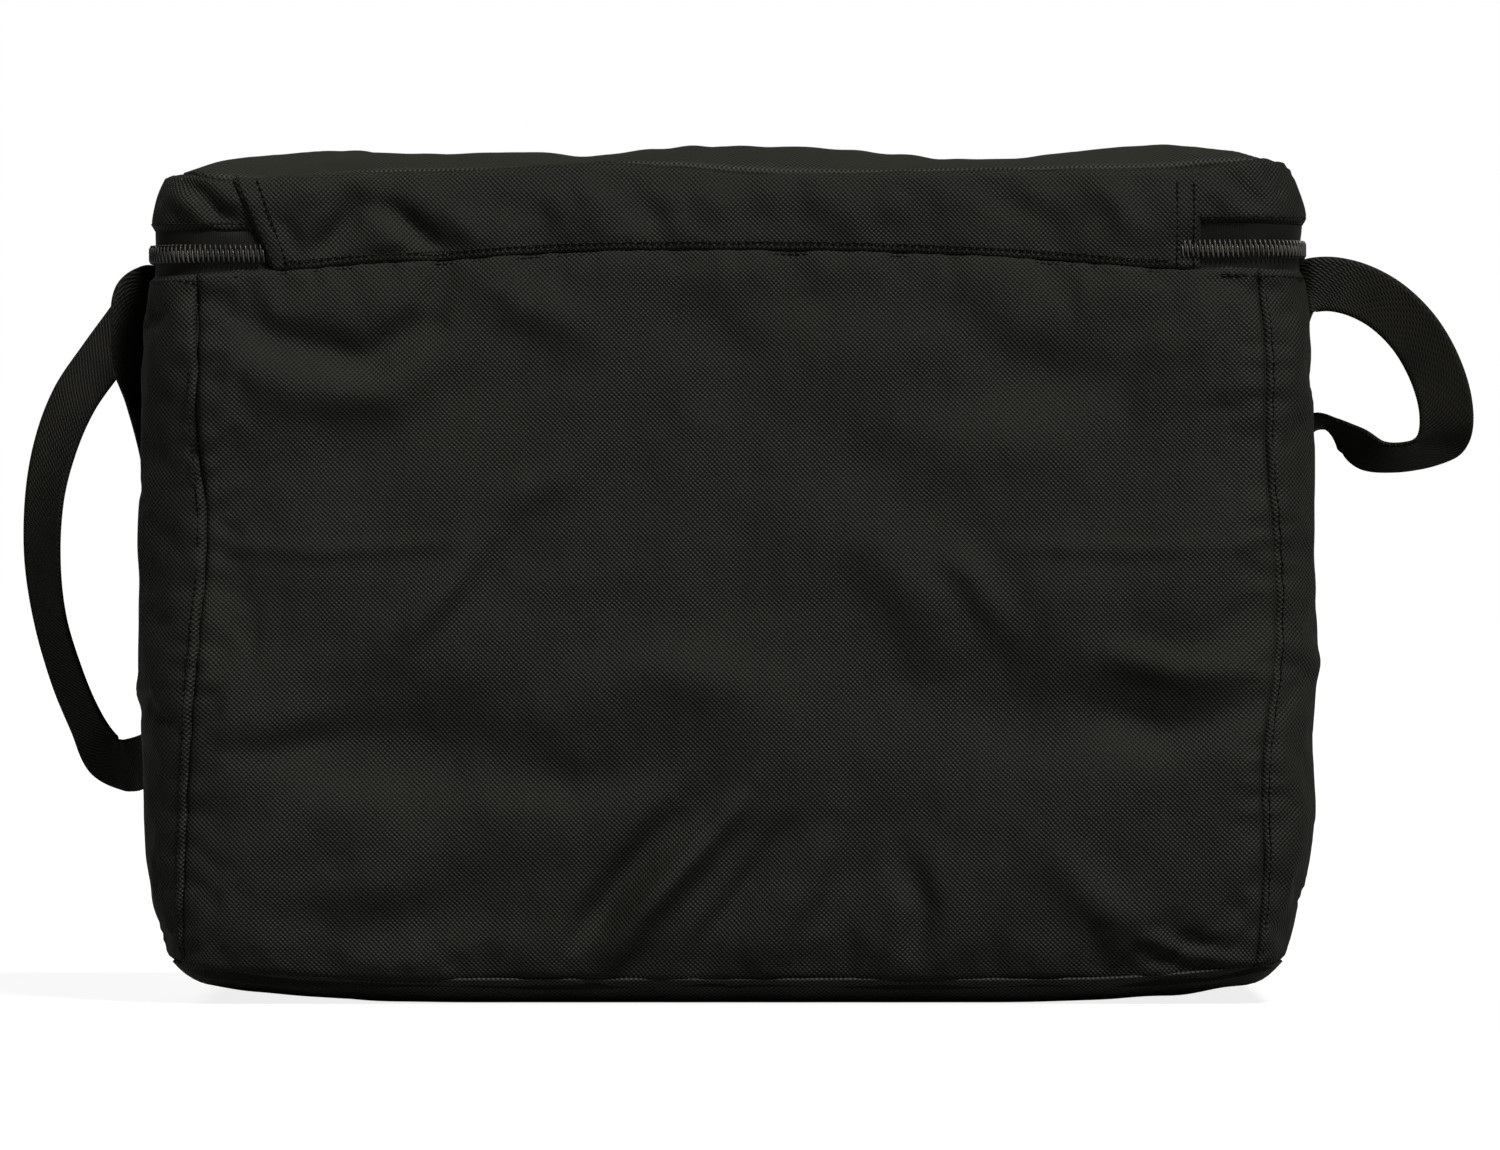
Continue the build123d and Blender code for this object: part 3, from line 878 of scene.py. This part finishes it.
# ---------------------------------------------------------------- stitches
def stitch_paths(line, normal, pitch=3.4, length=2.5):
    """Short thread runs along a line of points: each end dips into the cloth."""
    steps = np.linalg.norm(np.diff(line, axis=0), axis=1)
    along = np.concatenate([[0], np.cumsum(steps)])
    starts = np.arange(0.6, along[-1] - length, pitch)

    def at(distance, lift):
        where = np.stack([np.interp(distance, along, line[:, k]) for k in range(3)], axis=-1)
        out = np.stack([np.interp(distance, along, normal[:, k]) for k in range(3)], axis=-1)
        return where + out * lift

    return np.stack([at(starts, -0.35), at(starts + 0.15 * length, 0.2), at(starts + 0.5 * length, 0.34),
                     at(starts + 0.85 * length, 0.2), at(starts + length, -0.35)], axis=1)


def shell_line(s, z, lift=0.0):
    """A line on the shell and its outward directions."""
    s, z = np.broadcast_arrays(np.asarray(s, float), np.asarray(z, float))
    x, y, nx, ny = plan(s)
    return shell_point(s, z, lift), flat_map(nx, ny)


def stitching(name, body, runs):
    """All stitch runs of one body as one piece of thread; with no body, its transform is baked into its
    mesh.
    """
    paths = np.concatenate([stitch_paths(*run) for run in runs])
    points, faces = tubes(paths, [0.3, 0.4, 0.42, 0.4, 0.3], sides=5)
    obj = place(make_object(name, points, faces, material=THREAD), body, "binding")
    return obj if body else hinge_fold(obj)


heights = np.linspace(24, 336, 160)
tub_runs = [shell_line(s + drift(s, heights), heights) for s in
            (S_SEAM + 3.2, -S_SEAM - 3.2, S_FRONT_SEAM - 3.2, -S_FRONT_SEAM + 3.2)]
round_zip = np.linspace(S_ZIP_END + 3, AROUND - S_ZIP_END - 3, 700)
tub_runs.append(shell_line(round_zip, side_top(round_zip) - 3.2))
across_back = np.linspace(-S_SEAM + 4, S_SEAM - 4, 240)
tub_runs.append(shell_line(across_back, band_seam(plan(across_back)[0]) - 3.4))
stitching("tub_stitching", "tub", tub_runs)

stitching("lid_stitching", "lid", [shell_line(round_zip, gusset_low(round_zip) + 3.2)])
band_runs = []
rising = np.linspace(347, 390, 24)
for place_x, lean in ((S_ZIP_END + 4.5, 0), (S_ZIP_END - 3.5, 0), (-S_ZIP_END - 0.5, -0.42),
                      (-S_ZIP_END + 6.5, -0.36)):
    band_runs.append(shell_line(place_x + lean * (rising - ZIP_Z), rising, BAND_LIFT + 0.3))
along_band = np.linspace(-S_ZIP_END + 6, S_ZIP_END - 6, 200)
band_runs.append(shell_line(along_band, band_seam(plan(along_band)[0]) + 2.2,
                            BAND_LIFT + 0.3))
stitching("band_stitching", None, band_runs)


# ---------------------------------------------------------------- insulation and liner
def follow(s, z):
    """How the inner layers follow the shell's outline, less and less towards the rim."""
    low = np.minimum(wall_offset(s, z), 2.0)
    return low * unit((338 - z) / 30)


FOAM_LOW, FOAM_HIGH, FOAM_STEP = 26.0, 342.0, 7.0
FOAM_INSET, FOAM_THICK = 3.4, 5.6


def wall_foam(side_name, first, last):
    """The foam of one wall: a smooth layer inside the shell, pulled in over the floor."""
    s = np.linspace(first + 0.4, last - 0.4, int((last - first - 0.8) / FOAM_STEP) + 1)
    z = np.linspace(FOAM_LOW, FOAM_HIGH, int((FOAM_HIGH - FOAM_LOW) / FOAM_STEP) + 1)[:, None]
    s, z = np.broadcast_arrays(s, z)
    inset = FOAM_INSET - follow(s, z) + 9 * unit(1 - (z - FOAM_LOW) / 30) ** 2
    foam = sew(f"foam_sheet_{side_name}", inside(s, inset, z), flat_map(s, z), FOAM_THICK, FOAM, "tub",
               "insulation_foam", f"foam_{side_name}")


for wall_name, _, _, first, last, _ in WALLS:
    wall_foam(wall_name, first, last)


def base_layer(name, inset, height, thickness, material, slot, node):
    """A layer of the floor that follows the soft base."""
    x, y, _ = plan_grid(inset, inset, max(CORNER - inset, 8), 6.0)
    p = xyz(x, y, height + floor_lift(x, y) * 0.9)
    return sew(name, p, flat_map(x, y), thickness, material, "tub", slot, node)


base_layer("base_board_sheet", 22, 4.2, 2.2, BOARD, "stiffener", "base_board")
base_foam = base_layer("foam_sheet_base", 14, 12.0, 7.0, FOAM, "insulation_foam", "foam_base")


def deepest(s, z, reach=8.0):
    """How the film follows the foam: it stays inside the foam's folds."""
    steps = (-reach, 0.0, reach)
    return np.minimum.reduce([follow(s + i, z + j) for i in steps for j in steps])


def foil_tub():
    """The welded liner: crinkled film on the walls, which runs on into the floor."""
    inset, top, floor = 10.4, 342.0, 14.5
    bend_height, bend_share = 26, 0.16  # the rounded foot of the walls
    step = 4.5
    s = np.arange(0, AROUND, AROUND / int(AROUND / step))
    x, y, _, _ = plan(s)
    rings = []
    for z in np.linspace(top, floor + bend_height, int((top - floor - bend_height) / step)):
        crinkle = np.maximum(0.9 * rumple(s, z, 22, 51) + 0.5 * rumple(s, z, 8, 52), -0.7)
        away = inset - deepest(s, z) + crinkle * unit((337 - z) / 12)
        rings.append(inside(s, away, z))
    for t in np.linspace(0.04, 1, 70):
        turned = math.sin(min(t / bend_share, 1) * math.pi / 2)
        away = inset - deepest(s, floor + bend_height) + bend_height * turned
        z = floor + floor_lift(x, y) * (1 - t) + bend_height * (1 - turned)
        ring = inside(s, away, z) * (1 - max(t - bend_share, 0) / (1 - bend_share))
        ring[:, 2] = z + (0.8 * rumple(ring[:, 0], ring[:, 1], 24, 53)
                          + 0.4 * rumple(ring[:, 0], ring[:, 1], 9, 54)) * min(1, t * 4)
        rings.append(ring)
    middle = 0.4 * np.cos(s / AROUND * 2 * math.pi), 0.4 * np.sin(s / AROUND * 2 * math.pi)
    rings[-1] = xyz(*middle, 0 * s + floor + 0.2)
    p = np.stack(rings)[::-1]
    return sew("foil_tub_film", p, flat_map(np.broadcast_to(s, p.shape[:2]), p[..., 2]), 0.5, FOIL,
               "tub", "foil", "foil_liner", closed=True)


foil_tub()


def rim_binding():
    """Bias tape folded over the top edge of the foam and the liner."""
    section = [(11.6, 333.5), (11.4, 341.0), (10.6, 344.4), (7.4, 346.0), (4.2, 344.6), (3.4, 341.0),
               (3.3, 334.5)]
    s = np.arange(0, AROUND, AROUND / int(AROUND / 3.0))
    wave = 0.35 * np.sin(s / 6.5) + 0.3 * rumple(s, 0 * s, 40, 61)
    p = np.stack([inside(s, inset + 0.25 * wave, z + wave) for inset, z in section])
    flat = flat_map(*np.broadcast_arrays(s, np.linspace(0, 26, len(section))[:, None]))
    return sew("rim_binding_tape", p, flat, 0.9, BINDING, "tub", "binding", "mouth_binding",
               closed=True, inward=-1)


rim_binding()
rim_line = np.linspace(0, AROUND - 4, 700)
_, _, rim_nx, rim_ny = plan(rim_line)
stitching("rim_stitching", "tub", [(inside(rim_line, 12.1, 337.0), -flat_map(rim_nx, rim_ny))])


def lid_layers():
    """The lid's foam and its foil panel."""
    x, y, edge = plan_grid(13, 10, 18, 6.0)
    p = xyz(x, y, 389.5 + 3.0 * (1 - unit(1 - edge / 60) ** 2))
    foam = sew("lid_foam_sheet", p, flat_map(x, y), 5.0, FOAM, "lid", "insulation_foam", "lid_foam")
    x, y, edge = plan_grid(8.0, 6.0, 24, 4.5)
    crinkle = 0.9 * rumple(x, y, 24, 71) + 0.5 * rumple(x, y, 9, 72)
    z = 382.5 + crinkle * unit(edge / 14) - 1.6 * (1 - unit(1 - edge / 30) ** 2)
    sew("lid_foil_film", np.stack([x, y, z], axis=-1)[:, ::-1], flat_map(x, y)[:, ::-1], 0.5, FOIL,
        "lid", "foil", "lid_foil_liner")


lid_layers()


# ---------------------------------------------------------------- handles
RIGHT_ROUTE = [  # x, y, z of the webbing's middle, and the direction of its width
    (272.4, -50, 336, 0, 0, 1), (272.6, -72, 336, 0, 0, 1), (272.9, -92, 336.5, 0, 0, 1),
    (277, -98.6, 339.5, 0.02, 0, 1), (288, -100, 340, 0.06, 0, 1), (301, -101, 336.5, 0.34, 0, 0.94),
    (314, -100, 329, 0.6, 0, 0.8), (326, -99, 317, 0.76, 0, 0.65), (335, -97, 302, 0.93, 0, 0.36),
    (340.5, -95, 286, 1, 0.05, 0.2), (341.5, -92, 272, 1, 0.1, 0.04), (338, -86, 263.5, 0.95, 0.3, -0.16),
    (329, -78, 259.5, 0.65, 0.7, -0.4), (316, -70, 258.5, 0.2, 0.85, -0.52),
    (303, -64, 262, -0.1, 0.72, -0.66), (292, -58, 268.5, -0.1, 0.9, -0.42),
    (283.5, -50, 272, 0, 0.97, -0.2), (277.5, -40, 264, 0.05, 0.98, 0.1), (274.6, -30, 232, 0, 0.97, 0.2),
    (273.6, -16, 190, 0, 0.9, 0.4), (273.2, 8, 158, 0, 0.7, 0.7), (273.2, 38, 147, 0, 0, 1),
    (273.2, 68, 160, 0, -0.65, 0.75), (273.6, 86, 196, 0, -0.93, 0.35), (274.8, 93, 240, 0, -1, 0.15),
    (275.8, 96, 280, -0.05, -1, 0), (276.8, 98, 305, -0.12, -0.97, 0.05),
    (278.2, 99, 322, -0.25, -0.72, -0.6), (277, 98.5, 333, -0.08, 0, -1), (275.4, 97.6, 336, 0, 0, -1),
    (272.9, 92, 336, 0, 0, -1), (272.6, 72, 336, 0, 0, -1), (272.4, 50, 336, 0, 0, -1),
]
LEFT_ROUTE = [
    (-272.4, -50, 336, 0, 0, -1), (-272.6, -72, 336, 0, 0, -1), (-272.9, -92, 336, 0, 0, -1),
    (-276, -98, 336, 0.05, 0, -1), (-281, -100, 331, 0.5, 0.3, -0.8),
    (-283.5, -101, 318, 0.64, 0.72, -0.25), (-283, -100, 302, 0.64, 0.77, 0),
    (-279, -97, 284, 0.4, 0.9, 0.1), (-275.5, -88, 254, 0.1, 1, 0.2), (-273.6, -70, 214, 0, 0.93, 0.37),
    (-273.2, -45, 174, 0, 0.85, 0.5), (-274, -10, 139, 0, 0.6, 0.8), (-277.5, 25, 119, -0.1, 0.25, 0.95),
    (-283.5, 52, 112, 0.1, -0.35, 0.9), (-294, 68, 109.5, 0.55, -0.75, 0.35),
    (-304, 76, 115, 0.75, -0.6, 0.3), (-312.5, 80, 130, 0.62, -0.76, 0.25),
    (-322, 84, 152, 0.6, -0.77, 0.2), (-330.5, 89, 180, 0.6, -0.78, 0.1),
    (-334.5, 92, 210, 0.68, -0.73, 0), (-333.5, 94, 240, 0.74, -0.67, -0.08),
    (-328, 96, 266, 0.8, -0.55, -0.25), (-319, 97, 288, 0.78, -0.45, -0.45),
    (-306, 98, 307, 0.7, -0.4, -0.62), (-293, 98.5, 324, 0.62, -0.3, -0.74),
    (-284, 98.5, 335, 0.4, -0.1, -0.92), (-277, 97.5, 337.5, 0.08, 0, -1), (-272.9, 92, 336, 0, 0, -1),
    (-272.6, 72, 336, 0, 0, -1), (-272.4, 50, 336, 0, 0, -1),
]
WEBBING_WIDTH, WEBBING_THICK = 26.0, 1.9


def smooth_route(values, per_span=14):
    """A smooth curve through the stations, evenly shared between them."""
    values = np.array(values, float)
    padded = np.concatenate([[2 * values[0] - values[1]], values, [2 * values[-1] - values[-2]]])
    spans = []
    for i in range(len(values) - 1):
        p0, p1, p2, p3 = padded[i:i + 4]
        t = np.linspace(0, 1, per_span, endpoint=False)[:, None]
        spans.append(0.5 * (2 * p1 + (p2 - p0) * t + (2 * p0 - 5 * p1 + 4 * p2 - p3) * t**2
                            + (3 * p1 - p0 - 3 * p2 + p3) * t**3))
    return np.concatenate([*spans, values[-1:]])


def webbing_loop(handle, route):
    """Flat webbing with rounded selvedges, from one sewn end to the other."""
    middle, across = np.split(smooth_route(route), 2, axis=1)
    along = np.gradient(middle, axis=0)
    along /= np.linalg.norm(along, axis=1, keepdims=True)
    across -= along * np.sum(across * along, axis=1, keepdims=True)
    across /= np.linalg.norm(across, axis=1, keepdims=True)
    normal = np.cross(along, across)
    run = np.concatenate([[0], np.cumsum(np.linalg.norm(np.diff(middle, axis=0), axis=1))])
    half, thick = WEBBING_WIDTH / 2, WEBBING_THICK / 2
    outline = [(w, thick * (1.12 if abs(w) > half * 0.8 else 1.0))
               for w in np.linspace(-half + 0.5, half - 0.5, 12)]
    ring = outline + [(half, 0.0)] + [(w, -h) for w, h in reversed(outline)] + [(-half, 0.0)]
    cup = 0.5 * rumple(run, 0 * run, 70, 81)
    points, flat = [], []
    for w, h in ring:
        curl = cup * (1 - (w / half) ** 2)
        points.append(middle + across * w + normal * (h + curl)[:, None])
        flat.append(flat_map(run, np.full_like(run, w)))
    p, flat = np.stack(points, axis=1), np.stack(flat, axis=1)
    rows, cols = p.shape[:2]
    index = np.arange(rows * cols).reshape(rows, cols)
    index = np.concatenate([index, index[:, :1]], axis=1)
    faces = xyz(index[:-1, :-1], index[:-1, 1:], index[1:, 1:], index[1:, :-1])
    faces = faces.reshape(-1, 4).tolist()
    faces += [index[0, :-1].tolist()[::-1], index[-1, :-1].tolist()]
    obj = make_object(f"{handle}_webbing", p.reshape(-1, 3), faces, flat.reshape(-1, 3), WEBBING)
    place(obj, None, "webbing", handle, f"{handle}_rear_anchor", f"{handle}_front_anchor")
    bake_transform(obj)


webbing_loop("left_handle", LEFT_ROUTE)
webbing_loop("right_handle", RIGHT_ROUTE)


def anchor_stitches(side, end):
    """A box of stitches with a cross, through a sewn end of the webbing."""
    x, near_y, far_y = side * 273.45, end * 54.0, end * 88.0
    low, high = ANCHOR_Z - 8, ANCHOR_Z + 10
    corners = [(near_y, low), (far_y, low), (far_y, high), (near_y, high)]
    lines = list(zip(corners, corners[1:] + corners[:1])) + [(corners[0], corners[2]),
                                                            (corners[1], corners[3])]
    for (y0, z0), (y1, z1) in lines:
        t = np.linspace(0, 1, 12)
        line = xyz(x + 0 * t, y0 + (y1 - y0) * t, z0 + (z1 - z0) * t)
        yield line, np.broadcast_to([side * 1.0, 0.0, 0.0], line.shape)


stitching("handle_anchor_stitching", "tub",
          [run for side in (-1, 1) for end in (-1, 1) for run in anchor_stitches(side, end)])

# ---------------------------------------------------------------- hard pieces of the frame
for node in ("zip_slider_left", "zip_slider_right", "zip_pull_left", "zip_pull_right"):
    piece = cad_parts[node]
    if piece.material_slots:
        piece.material_slots[0].material = HARDWARE
    else:
        piece.data.materials.append(HARDWARE)


# ---------------------------------------------------------------- stage, lights and camera
def stage():
    """A plain white floor and a white surround."""
    size = 60.0
    mesh = bpy.data.meshes.new("studio_floor")
    mesh.from_pydata([(-size, -size, 0), (size, -size, 0), (size, size, 0), (-size, size, 0)], [],
                     [(0, 1, 2, 3)])
    floor = bpy.data.objects.new("studio_floor", mesh)
    bpy.context.scene.collection.objects.link(floor)
    n = Nodes("studio_floor")
    n.set(colour=(0.18, 0.18, 0.18, 1), roughness=0.9, specular=0.0)
    seen = n.add("ShaderNodeLightPath").outputs["Is Camera Ray"]
    n.shader.inputs["Emission Color"].default_value = (1, 1, 1, 1)
    n.put(n.shader.inputs["Emission Strength"], n.math("MULTIPLY", seen, 0.84))
    mesh.materials.append(n.material)
    world = bpy.data.worlds.new("studio")
    bpy.context.scene.world = world
    world.use_nodes = True
    tree = world.node_tree
    seen = tree.nodes.new("ShaderNodeLightPath").outputs["Is Camera Ray"]
    strength = tree.nodes.new("ShaderNodeMapRange")
    strength.inputs[3].default_value = 0.05
    strength.inputs[4].default_value = 1.0
    tree.links.new(seen, strength.inputs[0])
    tree.links.new(strength.outputs[0], tree.nodes["Background"].inputs["Strength"])
    tree.nodes["Background"].inputs["Color"].default_value = (1, 1, 1, 1)


def add_light(name, kind, position, target, power, **values):
    """A light that points at its target."""
    light = bpy.data.lights.new(name, kind)
    light.energy = power
    for key, value in values.items():
        setattr(light, key, value)
    obj = bpy.data.objects.new(name, light)
    bpy.context.scene.collection.objects.link(obj)
    obj.location = position
    aim = np.array(target, float) - np.array(position, float)
    obj.rotation_euler = (math.acos(-aim[2] / np.linalg.norm(aim)), 0,
                          math.atan2(aim[1], aim[0]) - math.pi / 2)
    return obj


stage()
add_light("key", "SUN", (0.7, -1.22, 2.0), (0, 0, 0.2), 3.7, angle=math.radians(14))
back_light = add_light("back_light", "SUN", (-1.1, 2.3, 1.9), (0, 0, 0.2), 2.9, angle=math.radians(18))
back_light.visible_glossy = False
add_light("fill", "AREA", (0.5, -2.9, 0.08), (0, 0, 0.15), 9, shape="SQUARE", size=1.2)

VIEW_WIDTH, VIEW_DISTANCE = 0.705, 7.0
camera_data = bpy.data.cameras.new("camera")
camera = bpy.data.objects.new("camera", camera_data)
bpy.context.scene.collection.objects.link(camera)
camera_data.sensor_width = 36.0
camera_data.lens = camera_data.sensor_width * VIEW_DISTANCE / VIEW_WIDTH
camera.location = (0.0106, -HALF_D * MM - VIEW_DISTANCE, 0.202)
camera.rotation_euler = (math.pi / 2, 0, 0)
bpy.context.scene.camera = camera
bpy.context.scene.view_settings.view_transform = "Standard"
